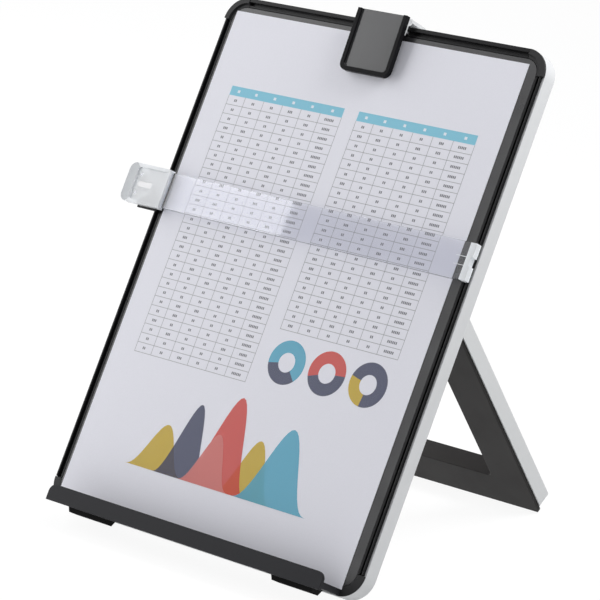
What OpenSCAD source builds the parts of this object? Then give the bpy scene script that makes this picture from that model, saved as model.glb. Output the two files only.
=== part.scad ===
// Desk copy holder with a sliding line guide, a sprung paper clip and a folding easel leg.
// Lengths are in millimetres. Every piece is drawn in the board's own frame, where X runs across the
// board from its centre, Y runs up the board from its bottom edge and Z rises out of its front face.
// on_board() then leans that frame back and stands it on the table.

/* [Board] */
// Width of the board
board_w = 228.8; // [200:0.1:260]
// Height of the board along its face
board_h = 309.1; // [270:0.1:340]
// Thickness from the front face to the back
board_t = 11.3; // [10.5:0.1:15]
// Corner radius seen from the front
corner_r = 14; // [10:0.5:20]
// Radius of the rounded back edge
back_edge_r = 1.6; // [0.6:0.1:2]
// Thickness of the front panel
panel_t = 2; // [1.6:0.1:2.4]
// Wall and back skin of the rear shell
shell_wall = 2; // [1.6:0.1:2.6]
// Lip of the shell wall round the panel and the tracks
shell_lip = 1.2; // [0.8:0.05:1.4]
// How far the shell lip stays below the front face
lip_drop = 0.6; // [0.4:0.1:0.8]
// Angle in degrees that the board leans back from upright
lean = 31.7; // [26:0.1:38]
// Width of the flat strip that the board's bottom edge stands on
stand_flat = 1.6; // [1:0.1:2]

/* [Tracks] */
// Width of a track strip
track_w = 4; // [3.6:0.1:5]
// Width of the groove
groove_w = 1.9; // [1.6:0.1:2.4]
// Thickness of the track under the groove
track_floor = 0.5; // [0.4:0.1:0.8]
// Thickness of the outer rail of the track
rail_t = 0.9; // [0.7:0.1:1.2]
// Height of the outer rail above the front face
rail_rise = 1; // [0.6:0.1:1.4]
// Radial step between the strips and the corner caps
cap_gap = 0.3; // [0.2:0.1:0.6]
// Width of the seam between the panel and the tracks
seam_w = 0.3; // [0.2:0.05:0.5]
// Width of the raised band on the upper corner caps
band_w = 3.2; // [2.6:0.1:4]
// Height of that band above the rails
band_rise = 0.2; // [0.1:0.05:0.4]

/* [Sheet] */
// Thickness of the paper stack
sheet_t = 0.3; // [0.2:0.1:0.6]
// Distance from the board's left edge to the sheet
sheet_margin = 7; // [6.6:0.1:9]
// Distance from the sheet to the board's right edge
sheet_margin_right = 11.8; // [6.6:0.1:14]
// Distance from the sheet to the board's top edge
sheet_margin_top = 8.3; // [6.6:0.1:12]

/* [Ledge] */
// Width of the ledge
ledge_w = 201.2; // [160:0.2:210]
// Distance of the ledge's middle to the right of the board's
ledge_x = 1.6; // [0:0.1:3]
// Distance from the front face to the front of the lip
ledge_depth = 18; // [12:0.5:22]
// Thickness of the lip
lip_t = 2; // [1.6:0.1:3]
// Height of the lip above the shelf
lip_rise = 4.8; // [3:0.1:8]
// Height of the lip below the shelf
lip_fall = 1.1; // [0.6:0.1:1.4]
// Radius of the lip's top corners
lip_corner_r = 4.5; // [3:0.1:4.6]
// Thickness of the shelf
shelf_t = 3.5; // [3:0.1:4.5]
// Height of the shelf's underside above the board's bottom edge
shelf_lift = 0.3; // [0.2:0.1:0.6]
// Length of a rubber pad under the shelf
pad_len = 31; // [20:0.5:40]
// Depth of a rubber pad from front to back
pad_depth = 7; // [5:0.5:8]
// Height of a rubber pad
pad_h = 3.5; // [2:0.1:4.5]
// Slope of the pad's ends, as a length
pad_bevel = 2; // [1:0.1:3]
// Distance of the pads' centres from the ledge's ends
pad_inset = 25.1; // [20:0.1:30]
// Gap between the lip and a pad
pad_setback = 7.25; // [5:0.05:8]
// Width of the tongues that hold the ledge in the board
tongue_len = 14; // [8:1:30]
// Thickness of those tongues
ledge_tongue_t = 2; // [1.4:0.1:2.4]
// Spacing of those tongues
tongue_pitch = 80; // [50:1:90]

/* [Leg] */
// Distance of the leg's sides inside the board's
leg_side = 10.6; // [10:0.1:14]
// Thickness of the leg
leg_t = 9.2; // [8:0.1:9.6]
// Height of the hinge above the board's bottom edge
hinge_h = 164.6; // [140:0.2:180]
// Width of the frame's side struts
strut_w = 25.5; // [20:0.5:40]
// Height of the foot bar at the front face
foot_bar_h = 23.6; // [20:0.1:40]
// Slope of the foot bar's inner wall, as a length
foot_bar_slope = 0.9; // [0.6:0.1:3]
// Height of the hinge bar, from the pivot
hinge_bar_h = 30; // [20:0.5:45]
// Radius of the frame's outer foot corners
leg_corner_r = 3; // [2.4:0.1:6]
// Radius of the corners of the frame's opening
opening_r = 3; // [2:0.5:6]
// Skin of the silver leg shell
leg_skin = 1.6; // [1.2:0.1:2]
// Thickness of the dark inner frame
frame_t = 4.6; // [3.5:0.1:5]
// How far the dark frame stands out of the leg's front
frame_proud = 2; // [1:0.1:2.6]
// Distance of that part's sides inside the leg's
frame_inset = 0.8; // [0.4:0.1:1.4]
// How far the dark frame reaches below the silver shell at the foot
foot_lip = 3; // [1:0.1:4]
// Distance of the hinge in front of the middle of the silver shell
pivot_forward = 1.7; // [1.2:0.1:1.8]
// Wall of the collar round the leg's opening
collar_t = 1.6; // [1.2:0.1:2]
// Gap around the folded leg in its recess
leg_gap = 0.4; // [0.3:0.05:0.8]
// Shell floor between the leg recess and the panel
recess_floor = 1; // [0.8:0.1:1.4]
// Wall along the board's bottom edge, below the recess
bottom_wall = 1.5; // [1.2:0.1:2]
// Radius of the hinge pins
leg_pin_r = 1.8; // [1.4:0.1:2]
// Length of a hinge pin
leg_pin_len = 15; // [12:0.5:20]
// Depth of a hinge pin in the leg
leg_pin_in_leg = 9; // [7:0.5:12]

/* [Line guide] */
// Height of the clear bar
bar_h = 21.2; // [15:0.2:26]
// Thickness of the clear bar
bar_t = 2.4; // [1.6:0.1:3]
// Clearance of the bar above the front face
bar_lift = 2.2; // [1.8:0.1:3.5]
// Height of the bar's lower edge above the board's bottom edge, as shown
guide_y = 177.4; // [60:0.2:240]
// Length of the grip outside the board
grip_len = 23.2; // [18:0.1:32]
// Reach of the grip over the board
grip_over = 7.4; // [6:0.1:9]
// How far the grip stands past the bar's edges
grip_margin = 1.1; // [0.6:0.1:1.6]
// Thickness of the grip
grip_t = 4.2; // [3.4:0.1:5.4]
// Width of the grip's rim along its upper and lower edges
grip_rim = 2; // [1.6:0.1:3]
// Width of the grip's rim at its outer end
grip_end_rim = 6.6; // [5:0.1:8]
// Width of the grip's rim beside the bar
grip_bar_rim = 1.6; // [1:0.1:2.4]
// Corner radius of the grip
grip_corner_r = 4.5; // [3:0.1:5.5]
// Length of the slot in the grip
slot_len = 11; // [8:0.5:14]
// Width of the slot in the grip
slot_w = 3.5; // [3:0.1:5]
// Distance of the slot's middle from the grip's outer end
slot_from_end = 14.1; // [12.5:0.1:16]
// Depth of the recess in the grip's front
grip_recess = 1; // [0.6:0.1:1.6]
// Thickness of the dark shoe under the grip
shoe_t = 2; // [1.4:0.1:2.1]
// Distance of the shoe's edges inside the grip's
shoe_inset = 0.4; // [0.3:0.1:1]
// Distance from the grip's outer end to the shoe
shoe_from_end = 11.6; // [9:0.1:12]
// Length of the shoe's tab, which the rivets hold
shoe_tab = 5.5; // [4:0.1:7.5]
// Distance of the tab's edges inside the shoe's
tab_inset = 2.8; // [1:0.1:3.5]
// Thickness of the shoe's skirt beside the board
skirt_t = 2; // [1.4:0.1:2.6]
// Reach of the shoe's skirt behind the front face
skirt_drop = 3; // [2.2:0.1:4]
// Thickness of the friction leaf between the skirt and the board
leaf_t = 0.3; // [0.2:0.05:0.3]
// Length of the friction leaf
leaf_len = 12; // [8:0.5:16]
// Height of the friction leaf
leaf_h = 1.8; // [1:0.1:2]
// Radius of the rivets through the grip
rivet_r = 0.8; // [0.6:0.05:1]
// Distance of a rivet from the middle of the slot
rivet_offset = 5.55; // [4.6:0.05:6.2]
// Distance of the hook's outer side inside the board's edge
hook_edge = 0.3; // [0.1:0.1:1]
// Height of the hook's cap above the bar
hook_rise = 0.8; // [0.4:0.1:1.4]
// Distance of the hook's ends inside the bar's edges
hook_inset = 0.2; // [0.1:0.1:1]
// Width of the notch in the hook
hook_notch_w = 5; // [3:0.5:7]
// Depth of the notch in the hook
hook_notch_d = 1.2; // [0.8:0.1:2]

/* [Clip] */
// Width of the clip's carriage
clip_w = 33; // [26:0.5:40]
// Width of the jaw plate
jaw_w = 35; // [30:0.5:44]
// Height of the jaw plate
jaw_h = 36.5; // [28:0.1:42]
// Thickness of the jaw plate
jaw_t = 3.1; // [2.4:0.1:3.4]
// Width of the raised rim at the jaw plate's sides and lower edge
jaw_rim = 2.5; // [1.6:0.1:3.5]
// Height of that rim above the face
jaw_rim_h = 1.3; // [0.6:0.1:1.6]
// Corner radius of the jaw plate
jaw_corner_r = 4.5; // [3:0.5:6]
// Gap behind the jaw plate at its lower edge
jaw_gap = 2.2; // [2:0.1:3]
// How much further the jaw stands out at its top edge
jaw_tilt_rise = 1.5; // [1.2:0.1:3]
// Height of the jaw pivot above the board's top edge
pivot_rise = 2.6; // [2.4:0.1:4]
// Distance of the jaw pivot in front of the front face
pivot_out = 1.2; // [1:0.1:1.3]
// Radius of the jaw pivot pin
clip_pin_r = 1.1; // [0.8:0.05:1.2]
// Radius of the barrels round the pivot pin
barrel_r = 2.1; // [1.9:0.05:2.3]
// Thickness of the carriage's top and back
carriage_t = 2; // [1.6:0.1:2.4]
// Length of the carriage behind the board
carriage_drop = 34; // [20:1:50]
// Thickness of the carriage's front ears
ear_t = 2.5; // [2:0.1:3]
// Width of the pocket for the spring
spring_pocket_w = 9; // [7:0.5:12]
// Radius of the spring wire
spring_wire_r = 0.35; // [0.25:0.05:0.4]
// Thickening of the turns that makes them touch
spring_overlap = 0.08; // [0.04:0.01:0.1]
// Gap inside and outside the spring's turns
spring_gap = 0.12; // [0.08:0.01:0.14]
// Number of turns in the spring
spring_turns = 5; // [3:1:6]
// Distance of the rubber pad's ends inside the jaw's sides
jaw_pad_inset = 4; // [2:0.5:8]
// Height of the rubber pad on the jaw
jaw_pad_h = 4; // [3:0.5:8]
// Distance of that pad above the jaw's lower edge
jaw_pad_lift = 2; // [1:0.5:5]

/* [Fasteners] */
// Radius of a screw's shank
screw_r = 1.2; // [1:0.1:1.4]
// Radius of a screw's head
screw_head_r = 2.4; // [2:0.1:2.8]
// Height of a screw's head
screw_head_h = 1.2; // [0.8:0.1:1.4]
// Plastic left in front of a panel screw's hole
screw_cover = 0.6; // [0.4:0.1:0.8]
// Distance of the panel screws from the board's sides
screw_from_side = 30; // [20:1:50]
// Distance of the upper panel screws from the board's top edge
screw_from_top = 26; // [20:1:40]
// Distance of the lower panel screws from the leg recess
screw_from_recess = 22; // [12:1:40]
// Wall of the bosses round the screws and hinge pins
boss_wall = 1.5; // [1.2:0.1:2]
// Distance of the leg's screws from the struts
leg_screw_inset = 12; // [8:1:40]

/* [Fits] */
// Running clearance round a pin
pin_fit = 0.05; // [0.02:0.01:0.09]
// Clearance of sliding pieces in a track
slide_fit = 0.3; // [0.2:0.05:0.5]
// Gap between pieces that pass each other
pass_gap = 0.4; // [0.3:0.05:0.6]
// Gap between fixed pieces that lie side by side
frame_fit = 0.1; // [0.05:0.01:0.2]
// Gap between the shell's lip and the tracks
ring_fit = 0.05; // [0.02:0.01:0.2]

/* [Hidden] */
$fn = 64;
half_w = board_w / 2;
wide = 2 * board_w;
// How far a cut runs past the face that it opens
past = 1;

// The ring of tracks and caps, inside the shell's lip
ring_out = half_w - shell_lip - ring_fit;
ring_in = ring_out - track_w;
ring_top = board_h - half_w + ring_out;
cap_outer_r = corner_r - half_w + ring_out;
cap_inner_r = cap_outer_r - track_w;
corner_x = half_w - corner_r;
corner_low = corner_r;
corner_high = board_h - corner_r;
groove_out = ring_out - rail_t;
groove_in = groove_out - groove_w;
groove_mid = (groove_out + groove_in) / 2;
groove_z = track_floor - panel_t;

// The sheet stands on the shelf
shelf_top = shelf_lift + shelf_t;
sheet_x = sheet_margin - half_w;
sheet_w = board_w - sheet_margin - sheet_margin_right;
sheet_h = board_h - shelf_top - sheet_margin_top;

// Leaning and standing: level() is the height of a point above the board's own origin
function level(y, z) = y * cos(lean) + z * sin(lean);
function back(y, z) = y * sin(lean) - z * cos(lean);
stand_depth = stand_flat * sin(lean) * cos(lean);
table = level(0, -board_t) + stand_depth;

// The leg's own frame: Z = 0 is the middle of its silver shell, and the pivot lies in front of it
leg_w = board_w - 2 * leg_side;
frame_top = leg_t / 2 + frame_proud;
leg_front = frame_top - pivot_forward;
leg_back = leg_t / 2 + pivot_forward;
hinge_z = -(panel_t + recess_floor + leg_gap + leg_front);
leg_end = hinge_h - bottom_wall - leg_gap;
leg_len = leg_end - foot_lip;
leg_reach = sqrt(leg_end * leg_end + leg_front * leg_front);
leg_drop = level(hinge_h, hinge_z) - table + stand_depth;
leg_from_plumb = atan(leg_front / leg_end) + acos(leg_drop / leg_reach);
leg_angle = lean + leg_from_plumb;
recess_top = hinge_h + leg_back + leg_gap;
recess_half = leg_w / 2 + leg_gap;
opening_top = hinge_bar_h;
opening_end = leg_end - foot_bar_h;
leg_screw_z = frame_top - screw_head_h;
leg_screw_len = leg_t + frame_proud - screw_head_h - leg_skin / 2;

// The line guide
guide_mid = guide_y + bar_h / 2;
grip_out = half_w + grip_len;
grip_end = half_w - grip_over;
grip_h = bar_h + 2 * grip_margin;
rail_clear = rail_rise + pass_gap;
bar_end = groove_in - pass_gap;
slot_x = slot_from_end - grip_out;
rivet_x = slot_x - slot_len / 2 + rivet_r;
shoe_low = bar_lift - shoe_t;
shoe_half = grip_h / 2 - shoe_inset;
skirt_x = -half_w - pass_gap;
tongue_w = groove_w - 2 * slide_fit;
tongue_z = groove_z + slide_fit;

// The clip: the jaw's own frame has its origin at the pivot
pivot_y = board_h + pivot_rise;
jaw_bottom = pivot_y + barrel_r - jaw_h;
jaw_tilt = asin(jaw_tilt_rise / jaw_h);
carriage_top = pivot_y + barrel_r;
carriage_back = board_t + pass_gap + carriage_t;
ear_foot_y = ring_top - track_w - frame_fit;
ear_tongue_y = ring_top - rail_t - groove_w + slide_fit;
turn_r = spring_wire_r + spring_overlap;
coil_r = clip_pin_r + spring_gap + turn_r;
turn_pitch = 2 * (turn_r - spring_overlap / 8);
jaw_barrel_half = clip_w / 2 - ear_t - slide_fit;

// The frame of the part: X and Y centred on its outline, Z from the table
x_low = -grip_out;
x_high = half_w;
y_low = back(shelf_lift - lip_fall, ledge_depth);
y_high = max(back(carriage_top, -carriage_back),
             back(hinge_h, hinge_z) + leg_len * sin(leg_from_plumb) + leg_back * cos(leg_from_plumb));

module on_board() {
    translate([-(x_low + x_high) / 2, -(y_low + y_high) / 2, -table])
        rotate([90 - lean, 0, 0])
            children();
}

// Local frame of the leg in its open place: X across, Y up the leg, Z towards its front face
module on_leg() {
    on_board()
        translate([0, hinge_h, hinge_z])
            rotate([leg_angle, 0, 0])
                translate([0, 0, -pivot_forward])
                    children();
}

// A rectangle with round corners, standing on the X axis and centred on the Y axis
module round_rect(w, h, r) {
    translate([-w / 2 + r, 0])
        square([w - 2 * r, h]);
    translate([-w / 2, r])
        square([w, h - 2 * r]);
    for (x = [r - w / 2, w / 2 - r], y = [r, h - r])
        translate([x, y])
            circle(r);
}

// Cross-section of a slab's edge, with the rounded arris low and outside
module edge_section(depth, t, edge_r) {
    arc = [for (a = [0:15:90]) [depth - edge_r + edge_r * sin(a), edge_r - edge_r * cos(a)]];
    polygon(concat([[0, 0]], arc, [[depth, t], [0, t]]));
}

// A slab with round corners of radius r and a rounded arris at its back
module slab(w, h, t, r, edge_r) {
    translate([r - w / 2, r, 0])
        cube([w - 2 * r, h - 2 * r, t]);
    for (side = [0, 1])
        mirror([side, 0, 0])
            translate([w / 2 - r, h - r, 0])
                rotate([90, 0, 0])
                    linear_extrude(h - 2 * r)
                        edge_section(r, t, edge_r);
    for (end = [0, 1])
        translate([0, end * h, 0])
            mirror([0, end, 0]) {
                translate([w / 2 - r, r, 0])
                    rotate([90, 0, -90])
                        linear_extrude(w - 2 * r)
                            edge_section(r, t, edge_r);
                for (side = [0, 1])
                    mirror([side, 0, 0])
                        translate([w / 2 - r, r, 0])
                            rotate([0, 0, -90])
                                rotate_extrude(angle = 90)
                                    edge_section(r, t, edge_r);
            }
}

// A box between two corners
module block(low, high) {
    translate(low)
        cube(high - low);
}

// A bar along X with the section of its children, between two X values
module along_x(x0, x1) {
    translate([x0, 0, 0])
        rotate([90, 0, 90])
            linear_extrude(x1 - x0)
                children();
}

// A screw with its head down, its shank towards +Z from the origin under the head
module screw(length, r, head_r, head_h) {
    translate([0, 0, -head_h])
        cylinder(r = head_r, h = head_h);
    cylinder(r = r, h = length);
}

function panel_screw_places() =
    [for (x = [-1, 1]) for (y = [board_h - screw_from_top, recess_top + screw_from_recess])
        [x * (half_w - screw_from_side), y]];
function leg_screw_places() =
    [for (x = [-1, 1]) [x * (leg_w / 2 - strut_w - leg_screw_inset), -hinge_bar_h / 2]];
ledge_tongue_y = shelf_lift + (shelf_t - ledge_tongue_t) / 2;
panel_screw_z = shell_wall + screw_head_h - board_t;
boss_r = screw_head_r + boss_wall;
panel_screw_len = -screw_cover - pin_fit - panel_screw_z;

// ---- Board -------------------------------------------------------------------------------------

module rear_shell() {
    color([0.80, 0.81, 0.82])
        on_board()
            difference() {
                union() {
                    difference() {
                        translate([0, 0, -board_t])
                            slab(board_w, board_h, board_t - lip_drop, corner_r, back_edge_r);
                        shell_hollows();
                    }
                    for (p = panel_screw_places())
                        translate([p[0], p[1], -board_t + shell_wall / 2])
                            cylinder(r = boss_r, h = board_t - panel_t - shell_wall / 2);
                    for (side = [-1, 1])
                        pin_boss(side);
                }
                panel_rabbet();
                leg_recess();
                for (p = panel_screw_places())
                    translate([p[0], p[1], panel_screw_z]) {
                        translate([0, 0, -board_t])
                            cylinder(r = screw_head_r + pin_fit, h = board_t);
                        cylinder(r = screw_r + pin_fit, h = board_t);
                    }
                ledge_tongues(pin_fit);
                for (side = [-1, 1])
                    leg_pin_space(side);
                stand_cut();
            }
}

// Space under the panel: one above the leg recess and one in each side rim
module shell_hollows() {
    low = recess_top + shell_wall;
    inner_r = corner_r - shell_wall;
    intersection() {
        translate([0, shell_wall, shell_wall - board_t])
            linear_extrude(board_t)
                round_rect(board_w - 2 * shell_wall, board_h - 2 * shell_wall, inner_r);
        union() {
            block([-wide, low, -board_t], [wide, board_h, past]);
            for (side = [0, 1])
                mirror([side, 0, 0])
                    block([recess_half + shell_wall, shell_wall, -board_t], [half_w, low + past, past]);
        }
    }
}

// Step that the panel and the tracks lie in
module panel_rabbet() {
    translate([0, shell_lip, -panel_t])
        linear_extrude(board_t)
            round_rect(board_w - 2 * shell_lip, board_h - 2 * shell_lip, corner_r - shell_lip);
}

module leg_recess() {
    block([-recess_half, bottom_wall, -board_t - past],
          [recess_half, recess_top, -panel_t - recess_floor]);
}

// Boss in the side rim that holds a hinge pin
module pin_boss(side) {
    out = half_w - shell_wall / 2;
    r = leg_pin_r + boss_wall;
    mirror([side > 0 ? 0 : 1, 0, 0])
        block([recess_half + shell_wall / 2, hinge_h - r, -board_t + shell_wall / 2],
              [out, hinge_h + r, -panel_t - frame_fit]);
}

module leg_pin_space(side) {
    start = recess_half - past;
    translate([side * start, hinge_h, hinge_z])
        rotate([0, side * 90, 0])
            cylinder(r = leg_pin_r + pin_fit, h = leg_pin_len - leg_pin_in_leg - leg_gap + past + pin_fit);
}

// Takes the arris off the board's lowest edge, level with the table
module stand_cut() {
    rotate([lean - 90, 0, 0])
        translate([-wide, -wide, table - wide])
            cube([2 * wide, 2 * wide, wide]);
}

module front_panel() {
    inset = half_w - ring_out;
    color([0.16, 0.16, 0.17])
        on_board()
            difference() {
                translate([0, inset, -panel_t])
                    linear_extrude(panel_t)
                        round_rect(2 * ring_out, board_h - 2 * inset, cap_outer_r);
                for (side = [0, 1])
                    mirror([side, 0, 0]) {
                        block([ring_in - seam_w, corner_low, -2 * panel_t],
                              [half_w + past, corner_high, past]);
                        for (high = [0, 1])
                            corner_frame(high)
                                corner_space();
                    }
                block([-corner_x, ring_top - track_w - seam_w, -2 * panel_t],
                      [corner_x, board_h + past, past]);
                for (p = panel_screw_places())
                    translate([p[0], p[1], -2 * panel_t])
                        cylinder(r = screw_r + pin_fit, h = 2 * panel_t - screw_cover);
                ledge_tongues(pin_fit);
            }
}

// Frame with its origin at the centre of a right-hand corner, +X and +Y outwards
module corner_frame(high) {
    translate([corner_x, high == 1 ? corner_high : corner_low, 0])
        mirror([0, high == 1 ? 0 : 1, 0])
            children();
}

module corner_space() {
    translate([0, 0, -2 * panel_t])
        difference() {
            cube([corner_r + past, corner_r + past, 3 * panel_t]);
            translate([0, 0, -past])
                cylinder(r = cap_inner_r - seam_w, h = 4 * panel_t);
        }
}

// A track strip: groove open to the front, with the higher rail outside (+X)
module track_section() {
    difference() {
        translate([0, -panel_t])
            square([track_w, panel_t + rail_rise]);
        translate([-past, 0])
            square([past + track_w - rail_t - groove_w, rail_rise + past]);
        translate([track_w - rail_t - groove_w, groove_z])
            square([groove_w, panel_t + 2 * rail_rise]);
    }
}

module side_track(side) {
    color([0.11, 0.11, 0.12])
        on_board()
            mirror([side > 0 ? 0 : 1, 0, 0])
                translate([ring_in, corner_high - cap_gap, 0])
                    rotate([90, 0, 0])
                        linear_extrude(corner_high - corner_low - 2 * cap_gap)
                            track_section();
}

module track_left() {
    side_track(-1);
}

module track_right() {
    side_track(1);
}

module track_top() {
    span = corner_x - cap_gap;
    color([0.11, 0.11, 0.12])
        on_board()
            translate([-span, ring_top - track_w, 0])
                rotate([90, 0, 90])
                    linear_extrude(2 * span)
                        top_section();
}

// The top track's rail also covers the shell's lip
module top_section() {
    low = frame_fit - lip_drop;
    track_section();
    translate([track_w - rail_t, low])
        square([rail_t + ring_fit + shell_lip, rail_rise - low]);
}

// Quarter ring that closes the tracks at a corner and covers the shell's lip, raised at the top corners
module corner_cap(right, high) {
    low = frame_fit - lip_drop;
    top = high == 1 ? rail_rise + band_rise : 0;
    color([0.13, 0.13, 0.14])
        on_board()
            mirror([right == 1 ? 0 : 1, 0, 0])
                corner_frame(high)
                    rotate_extrude(angle = 90) {
                        translate([cap_inner_r, -panel_t])
                            square([track_w, panel_t]);
                        translate([corner_r - band_w, low])
                            square([band_w, top - low]);
                    }
}

module corner_cap_top_left() {
    corner_cap(0, 1);
}

module corner_cap_top_right() {
    corner_cap(1, 1);
}

module corner_cap_bottom_left() {
    corner_cap(0, 0);
}

module corner_cap_bottom_right() {
    corner_cap(1, 0);
}

module panel_screws() {
    color([0.55, 0.56, 0.58])
        on_board()
            for (p = panel_screw_places())
                translate([p[0], p[1], panel_screw_z])
                    screw(panel_screw_len, screw_r, screw_head_r, screw_head_h);
}

// ---- Ledge -------------------------------------------------------------------------------------

module ledge() {
    lip_h = lip_fall + shelf_t + lip_rise;
    color([0.20, 0.20, 0.21])
        on_board()
            union() {
                block([ledge_x - ledge_w / 2, shelf_lift, 0],
                      [ledge_x + ledge_w / 2, shelf_top, ledge_depth - lip_t / 2]);
                translate([ledge_x, shelf_lift - lip_fall, ledge_depth - lip_t])
                    linear_extrude(lip_t)
                        lip_outline(ledge_w, lip_h, min(lip_corner_r, lip_h / 2));
                ledge_tongues(0);
            }
}

// Tongues of the ledge, or with a clearance the slots for them
module ledge_tongues(fit) {
    for (i = [-1, 0, 1])
        translate([ledge_x + i * tongue_pitch, 0, 0])
            block([-tongue_len / 2 - fit, ledge_tongue_y - fit, -panel_t - recess_floor - 2 * fit],
                  [tongue_len / 2 + fit, ledge_tongue_y + ledge_tongue_t + fit, past]);
}

// Lip seen from the front, with only its top corners rounded
module lip_outline(w, h, r) {
    translate([-w / 2, 0])
        square([w, h - r]);
    translate([r - w / 2, 0])
        square([w - 2 * r, h]);
    for (x = [r - w / 2, w / 2 - r])
        translate([x, h - r])
            circle(r);
}

// A rubber pad with sloping ends under the shelf
module ledge_pad(side) {
    front = ledge_depth - lip_t - pad_setback;
    half = pad_len / 2;
    centre = ledge_x + side * (ledge_w / 2 - pad_inset);
    color([0.07, 0.07, 0.07])
        on_board()
            translate([centre, shelf_lift, front - pad_depth])
                linear_extrude(pad_depth)
                    polygon([[-half, 0], [half, 0], [half - pad_bevel, -pad_h], [pad_bevel - half, -pad_h]]);
}

module ledge_pad_left() {
    ledge_pad(-1);
}

module ledge_pad_right() {
    ledge_pad(1);
}

// ---- Leg ---------------------------------------------------------------------------------------

module leg_pin(side) {
    color([0.72, 0.73, 0.75])
        on_board()
            translate([side * (leg_w / 2 - leg_pin_in_leg), hinge_h, hinge_z])
                rotate([0, side * 90, 0])
                    cylinder(r = leg_pin_r, h = leg_pin_len);
}

module leg_pin_left() {
    leg_pin(-1);
}

module leg_pin_right() {
    leg_pin(1);
}

// Outline of the leg seen from its front: square at the hinge, round at the foot
module leg_outline(r, inset, end) {
    half = leg_w / 2 - inset;
    translate([-half, r - end])
        square([2 * half, end - r - inset]);
    translate([r - half, -end])
        square([2 * (half - r), end / 2]);
    for (x = [r - half, half - r])
        translate([x, r - end])
            circle(r);
}

module leg_opening(grow) {
    w = leg_w - 2 * strut_w + 2 * grow;
    h = opening_end - opening_top + 2 * grow;
    translate([0, -opening_end - grow])
        round_rect(w, h, opening_r + grow);
}

module leg_bores() {
    for (side = [-1, 1])
        translate([side * (leg_w / 2 - leg_pin_in_leg - pin_fit), 0, pivot_forward])
            rotate([0, side * 90, 0])
                cylinder(r = leg_pin_r + pin_fit, h = leg_pin_in_leg + past);
}

// Takes the leg's lowest edge off, level with the table
module foot_cut() {
    translate([0, 0, pivot_forward])
        rotate([-leg_from_plumb, 0, 0])
            translate([-wide, -wide - leg_drop + stand_depth, -wide])
                cube([2 * wide, wide, 2 * wide]);
}

module leg_shell() {
    color([0.80, 0.81, 0.82])
        on_leg()
            difference() {
                union() {
                    difference() {
                        leg_body();
                        leg_pocket();
                    }
                    for (side = [0, 1])
                        mirror([side, 0, 0])
                            along_x(leg_w / 2 - leg_skin - leg_pin_in_leg, leg_w / 2 - leg_skin / 2)
                                hub_section();
                    for (p = leg_screw_places())
                        translate([p[0], p[1], leg_skin / 2 - leg_t / 2])
                            cylinder(r = screw_r + boss_wall, h = leg_t - frame_t - leg_skin / 2);
                }
                for (p = leg_screw_places())
                    translate([p[0], p[1], leg_screw_z - leg_screw_len - pin_fit])
                        cylinder(r = screw_r + pin_fit, h = leg_t);
                leg_bores();
                foot_cut();
            }
}

// Whole thickness of the silver shell, with a round top
module leg_body() {
    translate([0, 0, -leg_t / 2])
        linear_extrude(leg_t)
            leg_outline(leg_corner_r, 0, leg_len);
    along_x(-leg_w / 2, leg_w / 2)
        circle(leg_t / 2);
}

module leg_pocket() {
    half = leg_w / 2 - leg_skin - leg_pin_in_leg;
    translate([0, 0, leg_skin - leg_t / 2])
        linear_extrude(leg_t)
            leg_outline(leg_corner_r - leg_skin, leg_skin, leg_len - leg_skin);
    along_x(-half, half)
        translate([-leg_t, leg_skin - leg_t / 2])
            square([2 * leg_t, leg_t]);
    translate([0, 0, -leg_t])
        linear_extrude(2 * leg_t)
            leg_opening(collar_t + frame_fit);
}

// Solid hub round a hinge pin
module hub_section() {
    circle(leg_t / 2);
    translate([-leg_t / 2, -leg_t / 2])
        square([leg_t / 2, leg_t]);
}

// Dark frame that closes the leg's front and carries the foot
module leg_frame() {
    hub = leg_skin + leg_pin_in_leg + frame_fit;
    color([0.12, 0.11, 0.11])
        on_leg()
            difference() {
                union() {
                    difference() {
                        frame_slabs();
                        translate([0, 0, -leg_t])
                            linear_extrude(2 * leg_t)
                                leg_opening(0);
                    }
                    along_x(hub - leg_w / 2, leg_w / 2 - hub)
                        hinge_section();
                    foot_wedge();
                }
                for (p = leg_screw_places())
                    translate([p[0], p[1], 0]) {
                        translate([0, 0, leg_screw_z])
                            cylinder(r = screw_head_r + pin_fit, h = leg_t);
                        translate([0, 0, -leg_t])
                            cylinder(r = screw_r + pin_fit, h = 2 * leg_t);
                    }
                foot_cut();
            }
}

// The frame's slab in the shell, the wider slab in front of it and the collar round the opening
module frame_slabs() {
    inset = leg_skin + frame_fit;
    difference() {
        translate([0, 0, leg_t / 2 - frame_t])
            linear_extrude(frame_t)
                leg_outline(leg_corner_r - inset, inset, leg_len - inset);
        block([-wide, -leg_t / 2 - frame_fit, -leg_t], [wide, leg_t, leg_t]);
    }
    translate([0, 0, leg_t / 2])
        linear_extrude(frame_proud)
            leg_outline(leg_corner_r, frame_inset, leg_end);
    translate([0, 0, -leg_t / 2])
        linear_extrude(leg_t)
            leg_opening(collar_t);
}

// The hinge bar's round top, cut to the frame's thickness
module hinge_section() {
    intersection() {
        union() {
            circle(leg_t / 2);
            translate([-leg_t, -leg_t / 2])
                square([leg_t, leg_t]);
        }
        translate([-leg_t, leg_skin + frame_fit - leg_t / 2])
            square([2 * leg_t, leg_t]);
    }
}

// Sloping inner wall of the foot bar
module foot_wedge() {
    half = leg_w / 2 - strut_w + collar_t / 2;
    along_x(-half, half)
        polygon([[-opening_end - collar_t / 2, frame_top],
                 [-opening_end, frame_top],
                 [foot_bar_slope - opening_end, -leg_t / 2],
                 [-opening_end - collar_t / 2, -leg_t / 2]]);
}

module leg_screws() {
    color([0.55, 0.56, 0.58])
        on_leg()
            for (p = leg_screw_places())
                translate([p[0], p[1], leg_screw_z])
                    rotate([180, 0, 0])
                        screw(leg_screw_len, screw_r, screw_head_r, screw_head_h);
}

// ---- Line guide --------------------------------------------------------------------------------

module on_guide() {
    on_board()
        translate([0, guide_mid, 0])
            children();
}

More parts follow.
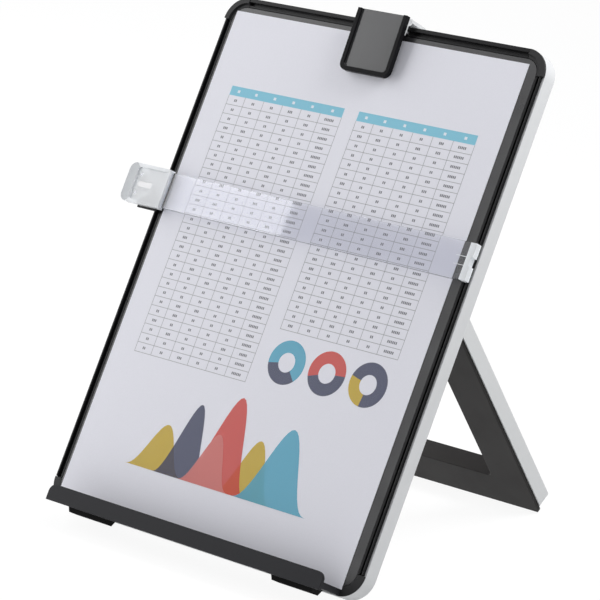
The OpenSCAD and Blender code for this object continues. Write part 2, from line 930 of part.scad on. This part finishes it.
module guide_bar() {
    color([0.85, 0.90, 0.96, 0.45])
        on_guide()
            block([-grip_end, -bar_h / 2, bar_lift], [bar_end, bar_h / 2, bar_lift + bar_t]);
}

// Block that the fingers hold, with a raised rim and a slot
module guide_grip() {
    low = -grip_h / 2;
    floor_z = bar_lift + grip_t - grip_recess;
    color([0.88, 0.91, 0.94, 0.6])
        on_guide()
            difference() {
                translate([0, low, bar_lift])
                    linear_extrude(grip_t)
                        end_round(-grip_out, -grip_end, grip_h, grip_corner_r);
                translate([0, low + grip_rim, floor_z])
                    linear_extrude(2 * grip_recess)
                        end_round(grip_end_rim - grip_out, -grip_end - grip_bar_rim,
                                  grip_h - 2 * grip_rim, grip_corner_r / 2);
                translate([slot_x, -slot_w / 2, 0])
                    linear_extrude(2 * grip_t)
                        round_rect(slot_len, slot_w, slot_w / 3);
                for (y = [-1, 1] * rivet_offset)
                    translate([rivet_x, y, 0])
                        cylinder(r = rivet_r + pin_fit, h = 2 * grip_t);
            }
}

// A rectangle between two X values, with round corners at the first
module end_round(x0, x1, h, r) {
    translate([x0 + r, 0])
        square([x1 - x0 - r, h]);
    translate([x0, r])
        square([r, h - 2 * r]);
    for (y = [r, h - r])
        translate([x0 + r, y])
            circle(r);
}

// Dark shoe under the grip, hooked over the left rail and into its groove
module guide_shoe() {
    shoe_x = shoe_from_end - grip_out;
    tongue_x = -groove_mid + tongue_w / 2;
    slot_half = [slot_len / 2, slot_w / 2, grip_t];
    color([0.09, 0.09, 0.10])
        on_guide()
            difference() {
                union() {
                    block([shoe_x, -shoe_half, shoe_low], [skirt_x, shoe_half, bar_lift]);
                    block([shoe_x - shoe_tab, tab_inset - shoe_half, shoe_low],
                          [skirt_x, shoe_half - tab_inset, bar_lift]);
                    block([skirt_x - skirt_t, -shoe_half, -skirt_drop], [skirt_x, shoe_half, bar_lift]);
                    block([skirt_x - skirt_t, -shoe_half, rail_clear - pass_gap / 2],
                          [pass_gap - grip_end, shoe_half, bar_lift]);
                    block([tongue_x - tongue_w, -shoe_half, tongue_z], [tongue_x, shoe_half, bar_lift]);
                }
                for (y = [-1, 1] * rivet_offset)
                    translate([rivet_x, y, -grip_t])
                        cylinder(r = rivet_r + pin_fit, h = 3 * grip_t);
                translate([slot_x, 0, 0])
                    block(-slot_half, slot_half);
            }
}

// Thin leaf on the skirt that rubs along the board's side
module guide_spring() {
    top = -lip_drop - pass_gap;
    color([0.75, 0.76, 0.78])
        on_guide()
            block([skirt_x, -leaf_len / 2, top - leaf_h], [skirt_x + leaf_t, leaf_len / 2, top]);
}

module guide_rivets() {
    color([0.5, 0.5, 0.52])
        on_guide()
            for (y = [-1, 1] * rivet_offset)
                translate([rivet_x, y, shoe_low])
                    cylinder(r = rivet_r, h = bar_lift + grip_t - grip_recess - shoe_low);
}

// Cap at the bar's right end, with a tongue in the groove
module guide_hook() {
    out = half_w - hook_edge;
    half = bar_h / 2 - hook_inset;
    color([0.90, 0.93, 0.96, 0.6])
        on_guide()
            difference() {
                union() {
                    block([bar_end, -half, rail_clear], [out, half, bar_lift + bar_t + hook_rise]);
                    block([groove_mid - tongue_w / 2, -half, tongue_z],
                          [groove_mid + tongue_w / 2, half, bar_lift]);
                }
                block([out - hook_notch_d, -hook_notch_w / 2, -board_t],
                      [out + past, hook_notch_w / 2, board_t]);
            }
}

// ---- Clip --------------------------------------------------------------------------------------

module on_pivot() {
    on_board()
        translate([0, pivot_y, pivot_out])
            children();
}

// Section of the carriage, which arches over the board's top edge, in (Y, Z) from the pivot
module carriage_section() {
    rear = -carriage_back - pivot_out;
    circle(barrel_r);
    translate([barrel_r - carriage_t, rear])
        square([carriage_t, -rear]);
    translate([-carriage_drop, rear])
        square([carriage_drop + barrel_r, carriage_t]);
}

module carriage_ears() {
    foot = ear_foot_y - pivot_y;
    low = rail_clear - pass_gap / 2 - pivot_out;
    for (side = [-1, 1])
        translate([side * (clip_w - ear_t) / 2 - ear_t / 2, 0, 0])
            along_x(0, ear_t) {
                translate([foot, low])
                    square([-foot, barrel_r - pass_gap - low]);
                translate([ear_tongue_y - pivot_y, tongue_z - pivot_out])
                    square([tongue_w, rail_clear - tongue_z]);
                circle(barrel_r);
            }
}

module clip_carriage() {
    color([0.82, 0.83, 0.84])
        on_pivot()
            difference() {
                union() {
                    along_x(-clip_w / 2, clip_w / 2)
                        carriage_section();
                    carriage_ears();
                }
                block([ear_t - clip_w / 2, -barrel_r - past, -barrel_r - pass_gap],
                      [clip_w / 2 - ear_t, barrel_r + past, barrel_r + past]);
                along_x(-clip_w, clip_w)
                    circle(clip_pin_r + pin_fit);
            }
}

module clip_pin() {
    color([0.72, 0.73, 0.75])
        on_pivot()
            along_x(frame_fit - clip_w / 2, clip_w / 2 - frame_fit)
                circle(clip_pin_r);
}

// Coil round the pin, drawn as rings that touch
module clip_spring() {
    color([0.70, 0.71, 0.73])
        on_pivot()
            for (turn = [0:spring_turns - 1])
                translate([(turn - (spring_turns - 1) / 2) * turn_pitch, 0, 0])
                    rotate([0, 90, 0])
                        rotate_extrude()
                            translate([coil_r, 0])
                                circle(turn_r, $fn = 16);
}

// Jaw plate seen from the front, hanging from the pivot, with round lower corners
module jaw_outline(inset, r) {
    w = jaw_w - 2 * inset;
    translate([0, jaw_bottom - pivot_y + inset]) {
        round_rect(w, jaw_h - inset, r);
        translate([-w / 2, jaw_h / 2])
            square([w, jaw_h / 2 - inset]);
    }
}

// The jaw leans out towards its top edge
module jaw_plane() {
    translate([0, jaw_bottom - pivot_y, jaw_gap - pivot_out])
        rotate([jaw_tilt, 0, 0])
            translate([0, pivot_y - jaw_bottom, 0])
                children();
}

module clip_jaw() {
    plate_back = jaw_gap + jaw_tilt_rise - pivot_out;
    pocket = coil_r + turn_r + spring_gap;
    color([0.22, 0.22, 0.23])
        on_pivot()
            difference() {
                union() {
                    jaw_plane()
                        difference() {
                            linear_extrude(jaw_t)
                                jaw_outline(0, jaw_corner_r);
                            translate([0, 0, jaw_t - jaw_rim_h])
                                linear_extrude(jaw_t) {
                                    jaw_outline(jaw_rim, jaw_corner_r / 2);
                                    translate([jaw_rim - jaw_w / 2, 0])
                                        square([jaw_w - 2 * jaw_rim, jaw_h]);
                                }
                        }
                    along_x(-jaw_barrel_half, jaw_barrel_half) {
                        circle(barrel_r);
                        translate([-barrel_r, 0])
                            square([2 * barrel_r, plate_back + (jaw_t - jaw_rim_h) / 2]);
                    }
                }
                along_x(-clip_w, clip_w)
                    circle(clip_pin_r + pin_fit);
                block([-spring_pocket_w / 2, -barrel_r - past, -barrel_r - past],
                      [spring_pocket_w / 2, barrel_r + past, pocket]);
            }
}

// Rubber strip behind the jaw's lower edge
module clip_pad() {
    half = jaw_w / 2 - jaw_pad_inset;
    low = jaw_bottom - pivot_y + jaw_pad_lift;
    color([0.06, 0.06, 0.06])
        on_pivot()
            block([-half, low, sheet_t + frame_fit - pivot_out],
                  [half, low + jaw_pad_h, jaw_gap - pivot_out]);
}

// ---- Paper -------------------------------------------------------------------------------------

module paper_sheet() {
    color([0.95, 0.95, 0.97])
        on_board()
            block([sheet_x, shelf_top, 0], [sheet_x + sheet_w, shelf_top + sheet_h, sheet_t]);
}

rear_shell();
front_panel();
track_left();
track_right();
track_top();
corner_cap_top_left();
corner_cap_top_right();
corner_cap_bottom_left();
corner_cap_bottom_right();
panel_screws();
ledge();
ledge_pad_left();
ledge_pad_right();
leg_pin_left();
leg_pin_right();
leg_shell();
leg_frame();
leg_screws();
guide_bar();
guide_grip();
guide_shoe();
guide_spring();
guide_rivets();
guide_hook();
clip_carriage();
clip_pin();
clip_spring();
clip_jaw();
clip_pad();
paper_sheet();
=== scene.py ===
"""Looks of a copy holder with a sliding line guide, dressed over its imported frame.

Blender works in metres. Pieces of the board are drawn in the board's own frame, in millimetres:
x runs across the board from its centre, y up the board from its bottom edge and z out of its front.
"""
import math
import random

import bmesh
import bpy
from mathutils import Matrix, Vector


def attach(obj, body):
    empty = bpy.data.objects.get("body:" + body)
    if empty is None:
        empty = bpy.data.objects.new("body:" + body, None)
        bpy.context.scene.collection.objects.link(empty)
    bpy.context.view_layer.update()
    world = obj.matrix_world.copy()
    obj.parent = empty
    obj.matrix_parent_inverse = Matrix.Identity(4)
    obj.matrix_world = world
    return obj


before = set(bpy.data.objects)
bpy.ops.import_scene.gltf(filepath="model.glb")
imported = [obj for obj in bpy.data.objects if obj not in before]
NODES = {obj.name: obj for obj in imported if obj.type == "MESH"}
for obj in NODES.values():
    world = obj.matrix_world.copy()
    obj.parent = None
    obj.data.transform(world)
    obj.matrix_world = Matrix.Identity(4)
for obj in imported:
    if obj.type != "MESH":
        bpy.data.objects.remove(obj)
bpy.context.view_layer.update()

MM = 0.001
# How far the board leans back from upright, and where its own origin is in the frame of the part
LEAN = math.radians(31.7)
SHIFT = Vector((0.0116, -0.0830402, 0.0052225))
TURN = math.pi / 2 - LEAN
BOARD = Matrix.Translation(SHIFT) @ Matrix.Rotation(TURN, 4, "X") @ Matrix.Scale(MM, 4)

# The sheet's lower left corner on the board, and its front
SHEET_X = -107.4
SHEET_Y = 3.8
SHEET_FRONT = 0.3

# The face inside the jaw's rim, outside which the rim gets painted shade: half of its width, and its lower
# edge
JAW_FACE_HALF = 14.9
JAW_FACE_LOW = 279.9
# The outer end of the grip's face inside its rim, beyond which the rim gets painted shade
GRIP_FACE_LEFT = -131.1


def new_object(name, data):
    """An object in the scene that shows this data."""
    made = bpy.data.objects.new(name, data)
    bpy.context.scene.collection.objects.link(made)
    return made


# ---- Camera ------------------------------------------------------------------------------------

def make_camera():
    """The photograph's view, as axes and a place in the board's frame."""
    right = Vector((0.754108, 0.339956, -0.561916))
    up = Vector((-0.194741, 0.932870, 0.303033))
    back = Vector((0.627213, -0.119091, 0.769689))
    place = BOARD @ Vector((1074.58, -55.65, 1306.99))
    turn = Matrix.Rotation(TURN, 3, "X")
    axes = Matrix([turn @ right, turn @ up, turn @ back]).transposed()
    data = bpy.data.cameras.new("camera")
    data.sensor_width = 36
    data.lens = 186.42
    data.clip_start = 0.05
    data.clip_end = 50
    camera = new_object("camera", data)
    camera.matrix_world = Matrix.Translation(place) @ axes.to_4x4()
    bpy.context.scene.camera = camera


make_camera()


# ---- Shader nodes ------------------------------------------------------------------------------

def set_inputs(node, values):
    """Sets a node's inputs, given by name or by place."""
    for which, value in values.items():
        node.inputs[which].default_value = value


def add(tree, kind, inputs=None, **settings):
    """A new node with its inputs and its other settings."""
    node = tree.nodes.new(kind)
    set_inputs(node, inputs or {})
    for name, value in settings.items():
        setattr(node, name, value)
    return node


def new_material(name):
    """A material, its node tree and its shader."""
    mat = bpy.data.materials.new(name)
    mat.use_nodes = True
    return mat, mat.node_tree, mat.node_tree.nodes["Principled BSDF"]


def board_coords(tree):
    """Millimetres in the board's frame, which ride with each piece."""
    where = add(tree, "ShaderNodeTexCoord")
    origin = Matrix.Rotation(-TURN, 3, "X") @ (SHIFT / -MM)
    mapping = add(tree, "ShaderNodeMapping",
                  inputs={"Scale": (1 / MM, 1 / MM, 1 / MM), "Rotation": (-TURN, 0, 0), "Location": origin})
    tree.links.new(where.outputs["Object"], mapping.inputs["Vector"])
    return mapping.outputs["Vector"]


# Nearly all of a noise's values lie between these two
NOISE_LOW = 0.3
NOISE_HIGH = 0.7


def noise(tree, coords, size, detail=2.0, rough=0.5):
    """Noise whose patches are about size millimetres across."""
    made = add(tree, "ShaderNodeTexNoise", inputs={"Scale": 1 / size, "Detail": detail, "Roughness": rough})
    tree.links.new(coords, made.inputs["Vector"])
    return made.outputs["Fac"]


def spread(tree, value, low, high):
    """A noise, spread to between low and high."""
    made = add(tree, "ShaderNodeMapRange",
               inputs={"From Min": NOISE_LOW, "From Max": NOISE_HIGH, "To Min": low, "To Max": high})
    tree.links.new(value, made.inputs["Value"])
    return made.outputs["Result"]


def tinted(tree, value, dark, light):
    """A colour between two, picked by a noise."""
    ramp = add(tree, "ShaderNodeValToRGB")
    ramp.color_ramp.elements[0].position = NOISE_LOW
    ramp.color_ramp.elements[1].position = NOISE_HIGH
    ramp.color_ramp.elements[0].color = (*dark, 1)
    ramp.color_ramp.elements[1].color = (*light, 1)
    tree.links.new(value, ramp.inputs["Fac"])
    return ramp.outputs["Color"]


def times(tree, value, share):
    """A share of a value."""
    made = add(tree, "ShaderNodeMath", operation="MULTIPLY", inputs={1: share})
    tree.links.new(value, made.inputs[0])
    return made.outputs[0]


def either(tree, one, other):
    """The larger of two values, so 1 where either of them is 1."""
    made = add(tree, "ShaderNodeMath", operation="MAXIMUM")
    tree.links.new(one, made.inputs[0])
    tree.links.new(other, made.inputs[1])
    return made.outputs[0]


def mix_out(tree, share, first, second, output="Material Output"):
    """Sends two shaders to the tree's output, mixed by the second one's share."""
    mix = add(tree, "ShaderNodeMixShader")
    tree.links.new(share, mix.inputs["Fac"])
    tree.links.new(first.outputs[0], mix.inputs[1])
    tree.links.new(second.outputs[0], mix.inputs[2])
    tree.links.new(mix.outputs[0], tree.nodes[output].inputs["Surface"])


def seen_ray(tree):
    """1 for a ray from the camera, a reflection or a refraction."""
    path = add(tree, "ShaderNodeLightPath").outputs
    seen = either(tree, path["Is Camera Ray"], path["Is Glossy Ray"])
    return either(tree, seen, path["Is Transmission Ray"])


def scaled(colour, share):
    """A colour made darker or lighter by a share."""
    return tuple(min(1, c * share) for c in colour)


# ---- Materials ---------------------------------------------------------------------------------

def surface(name, colour, rough, grain, depth, vary=0.06, metallic=0.0, edge=0.35, specular=0.5):
    """Moulded or painted surface: fine grain, uneven gloss, faint colour drift and softened edges.

    The grain's size, the depth of its relief and the edge's radius are in millimetres.
    """
    mat, tree, shader = new_material(name)
    link = tree.links.new
    coords = board_coords(tree)
    broad = noise(tree, coords, 24, 3)
    fine = noise(tree, coords, grain, 2, 0.6)
    drift = add(tree, "ShaderNodeMath", operation="MULTIPLY_ADD", inputs={1: 0.5})
    link(broad, drift.inputs[0])
    link(times(tree, fine, 0.5), drift.inputs[2])
    link(tinted(tree, drift.outputs[0], scaled(colour, 1 - vary), scaled(colour, 1 + vary)),
         shader.inputs["Base Color"])
    link(spread(tree, broad, rough * 0.9, rough * 1.12), shader.inputs["Roughness"])
    set_inputs(shader, {"Metallic": metallic, "Specular IOR Level": specular})
    rounded = add(tree, "ShaderNodeBevel", samples=4, inputs={"Radius": edge * MM})
    bump = add(tree, "ShaderNodeBump", inputs={"Strength": 0.6, "Distance": depth * MM})
    link(fine, bump.inputs["Height"])
    link(rounded.outputs["Normal"], bump.inputs["Normal"])
    link(bump.outputs["Normal"], shader.inputs["Normal"])
    return mat


def bare_metal(name, colour, rough):
    """Bright metal with a fine grain."""
    return surface(name, colour, rough, 0.25, 0.01, vary=0.05, metallic=1.0, edge=0.15)


def clear(name, tint, rough, haze=0.0):
    """Clear plastic with a share of haze, which lets most light through to what lies behind it."""
    mat, tree, shader = new_material(name)
    link = tree.links.new
    coords = board_coords(tree)
    link(tinted(tree, noise(tree, coords, 30, 2), scaled(tint, 0.97), tint), shader.inputs["Base Color"])
    link(spread(tree, noise(tree, coords, 6, 3), rough, rough * 1.6 + 0.01), shader.inputs["Roughness"])
    set_inputs(shader, {"Transmission Weight": 1 - haze, "IOR": 1.45})
    path = add(tree, "ShaderNodeLightPath").outputs
    unseen = either(tree, path["Is Shadow Ray"], path["Is Diffuse Ray"])
    through = add(tree, "ShaderNodeBsdfTransparent", inputs={"Color": (*scaled(tint, 0.95), 1)})
    mix_out(tree, times(tree, unseen, 0.9 - haze * 0.6), shader, through)
    return mat


def paper(name, colour, alpha=1.0, vary=0.02):
    """Paper or ink on it: matt, with fibres."""
    mat, tree, shader = new_material(name)
    link = tree.links.new
    fibre = noise(tree, board_coords(tree), 0.6, 4, 0.7)
    link(tinted(tree, fibre, scaled(colour, 1 - vary), scaled(colour, 1 + vary)), shader.inputs["Base Color"])
    link(spread(tree, fibre, 0.55, 0.7), shader.inputs["Roughness"])
    set_inputs(shader, {"Specular IOR Level": 0.3, "Alpha": alpha})
    bump = add(tree, "ShaderNodeBump", inputs={"Strength": 0.3, "Distance": 0.01 * MM})
    link(fibre, bump.inputs["Height"])
    link(bump.outputs["Normal"], shader.inputs["Normal"])
    return mat


SILVER = surface("silver", (0.66, 0.67, 0.68), 0.38, 0.18, 0.01, vary=0.03, metallic=0.15, edge=0.5)
SILVER_LEG = surface("silver_leg", (0.66, 0.67, 0.675), 0.36, 0.18, 0.01, vary=0.03, metallic=0.2, edge=0.4)
PANEL = surface("grained_panel", (0.020, 0.020, 0.022), 0.30, 0.6, 0.02, vary=0.5, edge=0.2, specular=0.48)
TRACK = surface("track", (0.010, 0.010, 0.011), 0.26, 0.3, 0.01, vary=0.08, edge=0.45, specular=0.12)
CAP = surface("cap_plastic", (0.024, 0.024, 0.025), 0.42, 0.3, 0.02, vary=0.08, edge=0.25, specular=0.12)
LEDGE = surface("ledge_plastic", (0.026, 0.026, 0.029), 0.45, 0.3, 0.03, vary=0.08, edge=0.45, specular=0.08)
LEG_DARK = surface("leg_plastic", (0.015, 0.013, 0.0125), 0.40, 0.3, 0.02, vary=0.08, edge=0.5, specular=0.15)
JAW = surface("jaw_plastic", (0.040, 0.041, 0.044), 0.20, 0.4, 0.006, vary=0.05, specular=0.6)
# Painted shade: a darker, duller copy of the jaw's plastic for its chamfered rim
JAW_RIM_PAINTED_SHADE = surface("jaw_rim_painted_shade", (0.008, 0.008, 0.009), 0.35, 0.4, 0.006, vary=0.05, specular=0.05)
SHOE = surface("shoe_plastic", (0.014, 0.014, 0.015), 0.40, 0.3, 0.02, vary=0.08, edge=0.2, specular=0.1)
RUBBER = surface("rubber", (0.010, 0.010, 0.010), 0.72, 0.25, 0.04, vary=0.15, edge=0.4, specular=0.08)
STEEL = bare_metal("steel", (0.62, 0.63, 0.65), 0.28)
RIVET = bare_metal("rivet_steel", (0.30, 0.31, 0.33), 0.40)
CLEAR = clear("clear_plastic", (0.90, 0.905, 0.935), 0.015)
FROSTED = clear("frosted_plastic", (0.92, 0.94, 0.96), 0.30, haze=0.7)
# Painted shade: a darker copy of the frosted plastic for the grip's rounded rim
FROSTED_RIM_PAINTED_SHADE = clear("frosted_rim_painted_shade", (0.60, 0.62, 0.64), 0.30, haze=0.7)
PAPER = paper("sheet_paper", (0.80, 0.80, 0.86))
WINDOW = paper("window_white", (0.97, 0.97, 0.98), vary=0.01)

LOOKS = {
    "rear_shell": SILVER, "clip_carriage": SILVER, "leg_shell": SILVER_LEG,
    "front_panel": PANEL, "ledge": LEDGE,
    "track_left": TRACK, "track_right": TRACK, "track_top": TRACK,
    "corner_cap_top_left": CAP, "corner_cap_top_right": CAP,
    "corner_cap_bottom_left": CAP, "corner_cap_bottom_right": CAP,
    "ledge_pad_left": RUBBER, "ledge_pad_right": RUBBER, "clip_pad": RUBBER,
    "leg_frame": LEG_DARK, "guide_shoe": SHOE, "clip_jaw": JAW,
    "panel_screws": STEEL, "leg_screws": STEEL, "leg_pin_left": STEEL, "leg_pin_right": STEEL,
    "guide_spring": STEEL, "guide_rivets": RIVET, "clip_pin": STEEL, "clip_spring": STEEL,
    "guide_bar": CLEAR, "guide_grip": FROSTED, "guide_hook": FROSTED,
    "paper_sheet": PAPER,
}
for name, mat in LOOKS.items():
    NODES[name].data.materials.clear()
    NODES[name].data.materials.append(mat)


def paint(name, mat, chosen):
    """Gives another look to the faces of a node whose centres, on the board, are chosen."""
    piece = NODES[name]
    piece.data.materials.append(mat)
    to_board = BOARD.inverted() @ piece.matrix_world
    for face in piece.data.polygons:
        if chosen(to_board @ face.center):
            face.material_index = 1


# The jaw's rim outside its face gets painted shade
paint("clip_jaw", JAW_RIM_PAINTED_SHADE, lambda place: abs(place.x) > JAW_FACE_HALF or place.y < JAW_FACE_LOW)
# The grip's rounded rim outside its face gets painted shade
paint("guide_grip", FROSTED_RIM_PAINTED_SHADE, lambda place: place.x < GRIP_FACE_LEFT)


# ---- Print on the sheet ------------------------------------------------------------------------

INKS = {
    "line": paper("ink_line", (0.36, 0.36, 0.38)),
    "figure": paper("ink_figure", (0.20, 0.20, 0.22)),
    "head": paper("ink_head", (0.24, 0.56, 0.70)),
    "label": paper("ink_label", (0.78, 0.82, 0.88)),
    "blue": paper("ink_blue", (0.12, 0.47, 0.64), 0.72),
    "slate": paper("ink_slate", (0.065, 0.075, 0.14), 0.72),
    "red": paper("ink_red", (0.72, 0.09, 0.07), 0.72),
    "ochre": paper("ink_ochre", (0.66, 0.46, 0.03), 0.72),
    "pink": paper("ink_pink", (0.78, 0.28, 0.26), 0.7),
}
INK_NAMES = list(INKS)

# The first layer's height above the sheet, and each further layer's above the last
PRINT_GAP = 0.02
LAYER = 0.01

# Both tables: their top edge, the height of a row and the width of a rule
TABLE_TOP = 253.0
ROW_H = 5.58
RULE_W = 0.3
# A mark that stands for a word in the head row: half of its width and of its height
LABEL_HALF_W = 0.9
LABEL_HALF_H = 0.8
# A mark that stands for a digit: its width, half of its height and the step to the next
FIGURE_W = 0.75
FIGURE_HALF_H = 0.75
FIGURE_STEP = 1.15

# The ring charts: the height of their centres on the sheet, and their radii
RING_Y = 107.5
RING_OUTER = 12.6
RING_INNER = 5.6
# Each ring's centre across the sheet, and its parts as shares of the turn with an ink each
RINGS = [
    (123.5, [(0.38, "blue"), (0.34, "slate"), (0.28, "blue")]),
    (152.2, [(0.24, "red"), (0.46, "slate"), (0.30, "red")]),
    (181.0, [(0.52, "slate"), (0.27, "ochre"), (0.21, "slate")]),
]

# The hills: their foot on the sheet, how much their sides pull in, and each one's centre,
# half width, height and ink
HILL_FOOT = 29.5
HILL_POWER = 1.3
HILLS = [
    (60, 22, 27, "ochre"), (78, 19, 43, "slate"), (126, 21, 33, "ochre"),
    (104, 25, 53, "red"), (97, 19, 30, "pink"), (145, 27, 44, "blue"),
]


class Print:
    """Flat shapes on the sheet, in millimetres from its lower left corner."""

    def __init__(self):
        self.mesh = bmesh.new()
        self.height = SHEET_FRONT + PRINT_GAP

    def shape(self, points, ink):
        verts = [self.mesh.verts.new(BOARD @ Vector((SHEET_X + x, SHEET_Y + y, self.height)))
                 for x, y in points]
        face = self.mesh.faces.new(verts)
        face.material_index = INK_NAMES.index(ink)

    def bar(self, x0, y0, x1, y1, ink):
        self.shape([(x0, y0), (x1, y0), (x1, y1), (x0, y1)], ink)

    def lift(self):
        """What is drawn from here on lies over what is there."""
        self.height += LAYER

    def finish(self, name):
        data = bpy.data.meshes.new(name)
        self.mesh.to_mesh(data)
        self.mesh.free()
        for ink in INK_NAMES:
            data.materials.append(INKS[ink])
        return new_object(name, data)


def table_print(sheet, left, widths, rows, seed):
    """A ruled table with a coloured head row and short figures in its cells."""
    rng = random.Random(seed)
    right = left + sum(widths)
    bottom = TABLE_TOP - ROW_H * (rows + 1)
    sheet.bar(left, TABLE_TOP - ROW_H, right, TABLE_TOP, "head")
    for i in range(1, rows + 1):
        y = TABLE_TOP - ROW_H * i - ROW_H
        sheet.bar(left, y - RULE_W / 2, right, y + RULE_W / 2, "line")
    x = left
    for width in [0, *widths]:
        x += width
        sheet.bar(x - RULE_W / 2, bottom, x + RULE_W / 2, TABLE_TOP - ROW_H, "line")
    sheet.lift()
    x = left
    for i, width in enumerate(widths):
        centre = x + width / 2
        y = TABLE_TOP - ROW_H / 2
        sheet.bar(centre - LABEL_HALF_W, y - LABEL_HALF_H, centre + LABEL_HALF_W, y + LABEL_HALF_H, "label")
        counts = [2, 2, 3] if i < len(widths) - 1 else [5, 6, 6]
        for row in range(rows):
            count = rng.choice(counts)
            start = centre - count * FIGURE_STEP / 2
            y = TABLE_TOP - ROW_H * (row + 1.5)
            for digit in range(count):
                low = start + digit * FIGURE_STEP
                sheet.bar(low, y - FIGURE_HALF_H, low + FIGURE_W, y + FIGURE_HALF_H, "figure")
        x += width


def arc_points(cx, radius, start, end, steps):
    """Points along a ring's arc between two shares of the turn, clockwise from its top."""
    turns = [math.tau * (start + (end - start) * i / steps) for i in range(steps + 1)]
    return [(cx + radius * math.sin(turn), RING_Y + radius * math.cos(turn)) for turn in turns]


def ring_print(sheet, cx, parts):
    """A ring chart."""
    start = 0.0
    for share, ink in parts:
        steps = max(4, int(share * 48))
        out = arc_points(cx, RING_OUTER, start, start + share, steps)
        into = arc_points(cx, RING_INNER, start, start + share, steps)
        for i in range(steps):
            sheet.shape([out[i], out[i + 1], into[i + 1], into[i]], ink)
        start += share


def hill_print(sheet, centre, half, height, ink):
    """A rounded hill of a chart."""
    steps = 28
    for i in range(steps):
        x0, x1 = [centre - half + 2 * half * (i + k) / steps for k in (0, 1)]
        y0, y1 = [HILL_FOOT + height * (0.5 + 0.5 * math.cos(math.pi * (x - centre) / half)) ** HILL_POWER
                  for x in (x0, x1)]
        sheet.shape([(x0, HILL_FOOT), (x1, HILL_FOOT), (x1, y1), (x0, y0)], ink)
    sheet.lift()


sheet_print = Print()
table_print(sheet_print, left=16.5, widths=[12.5, 14.0, 14.0, 14.0, 14.0, 15.5], rows=28, seed=4)
table_print(sheet_print, left=111.0, widths=[12.5, 14.0, 14.0, 14.0, 14.0, 14.5], rows=22, seed=9)
for cx, parts in RINGS:
    ring_print(sheet_print, cx, parts)
sheet_print.lift()
for centre, half, height, ink in HILLS:
    hill_print(sheet_print, centre, half, height, ink)
printed = sheet_print.finish("sheet_print")
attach(printed, "board")


# ---- Small pieces of the line guide, and a painted reflection along its grip -------------------

def board_box(name, low, high, mat, body):
    """A box between two corners in the board's frame, riding with a body."""
    mesh = bmesh.new()
    bmesh.ops.create_cube(mesh, size=1)
    middle = (Vector(low) + Vector(high)) / 2
    size = Vector(high) - Vector(low)
    for vert in mesh.verts:
        vert.co = BOARD @ (middle + Vector([c * s for c, s in zip(vert.co, size)]))
    data = bpy.data.meshes.new(name)
    mesh.to_mesh(data)
    mesh.free()
    data.materials.append(mat)
    made = new_object(name, data)
    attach(made, body)


# A dark strip along the grip's lower edge: painted reflection of the black rail in the grip's side wall
board_box("grip_edge_painted_reflection", (-125.5, 175.0, 1.45), (-110.5, 176.2, 2.6), SHOE, "line_guide")
board_box("slot_window", (-128.9, 186.35, 4.9), (-118.1, 189.65, 5.3), WINDOW, "line_guide")
for i, y in enumerate((185.4, 190.2)):
    board_box(f"bar_ridge_{i + 1}", (102.6, y, 4.62), (109.8, y + 0.3, 4.72), FROSTED, "line_guide")


# ---- Stage and light ---------------------------------------------------------------------------

def make_floor():
    """A pale floor that keeps the object's shadow and that seen rays find nearly white."""
    half = 6
    drop = 0.0004
    glow_strength = 1.06
    glow_share = 0.86
    data = bpy.data.meshes.new("floor")
    corners = [(-half, -half, 0), (half, -half, 0), (half, half, 0), (-half, half, 0)]
    data.from_pydata(corners, [], [(0, 1, 2, 3)])
    floor = new_object("floor", data)
    floor.location.z = -drop
    mat, tree, shader = new_material("floor_white")
    set_inputs(shader, {"Base Color": (0.9, 0.9, 0.9, 1), "Roughness": 0.8})
    glow = add(tree, "ShaderNodeEmission", inputs={"Color": (1, 1, 1, 1), "Strength": glow_strength})
    mix_out(tree, times(tree, seen_ray(tree), glow_share), shader, glow)
    data.materials.append(mat)


def make_world():
    """Soft light all round, which seen rays find white."""
    world = bpy.data.worlds.new("studio")
    bpy.context.scene.world = world
    world.use_nodes = True
    tree = world.node_tree
    fill = tree.nodes["Background"]
    set_inputs(fill, {"Color": (0.96, 0.97, 1.0, 1), "Strength": 0.29})
    white = add(tree, "ShaderNodeBackground", inputs={"Color": (1, 1, 1, 1), "Strength": 1.0})
    mix_out(tree, seen_ray(tree), fill, white, output="World Output")


def lamp(name, place, target, width, height, power):
    """A soft box that faces its target, its height as nearly along the board's as that allows."""
    data = bpy.data.lights.new(name, "AREA")
    data.shape = "RECTANGLE"
    data.size = width
    data.size_y = height
    data.energy = power
    back = (Vector(place) - Vector(target)).normalized()
    right = (Matrix.Rotation(TURN, 3, "X") @ Vector((0, 1, 0))).cross(back).normalized()
    axes = Matrix([right, back.cross(right), back]).transposed()
    new_object(name, data).matrix_world = Matrix.Translation(place) @ axes.to_4x4()


make_floor()
make_world()
# The key light's right edge is mirrored left of the middle of the board
lamp("key", BOARD @ Vector((-1252, 350, 560)), (0, 0.02, 0.14), width=1.3, height=2.0, power=25.5)
lamp("right", (0.42, 0.22, 0.62), (0.10, 0, 0.22), width=0.3, height=0.3, power=3)
bpy.context.scene.view_settings.view_transform = "Standard"
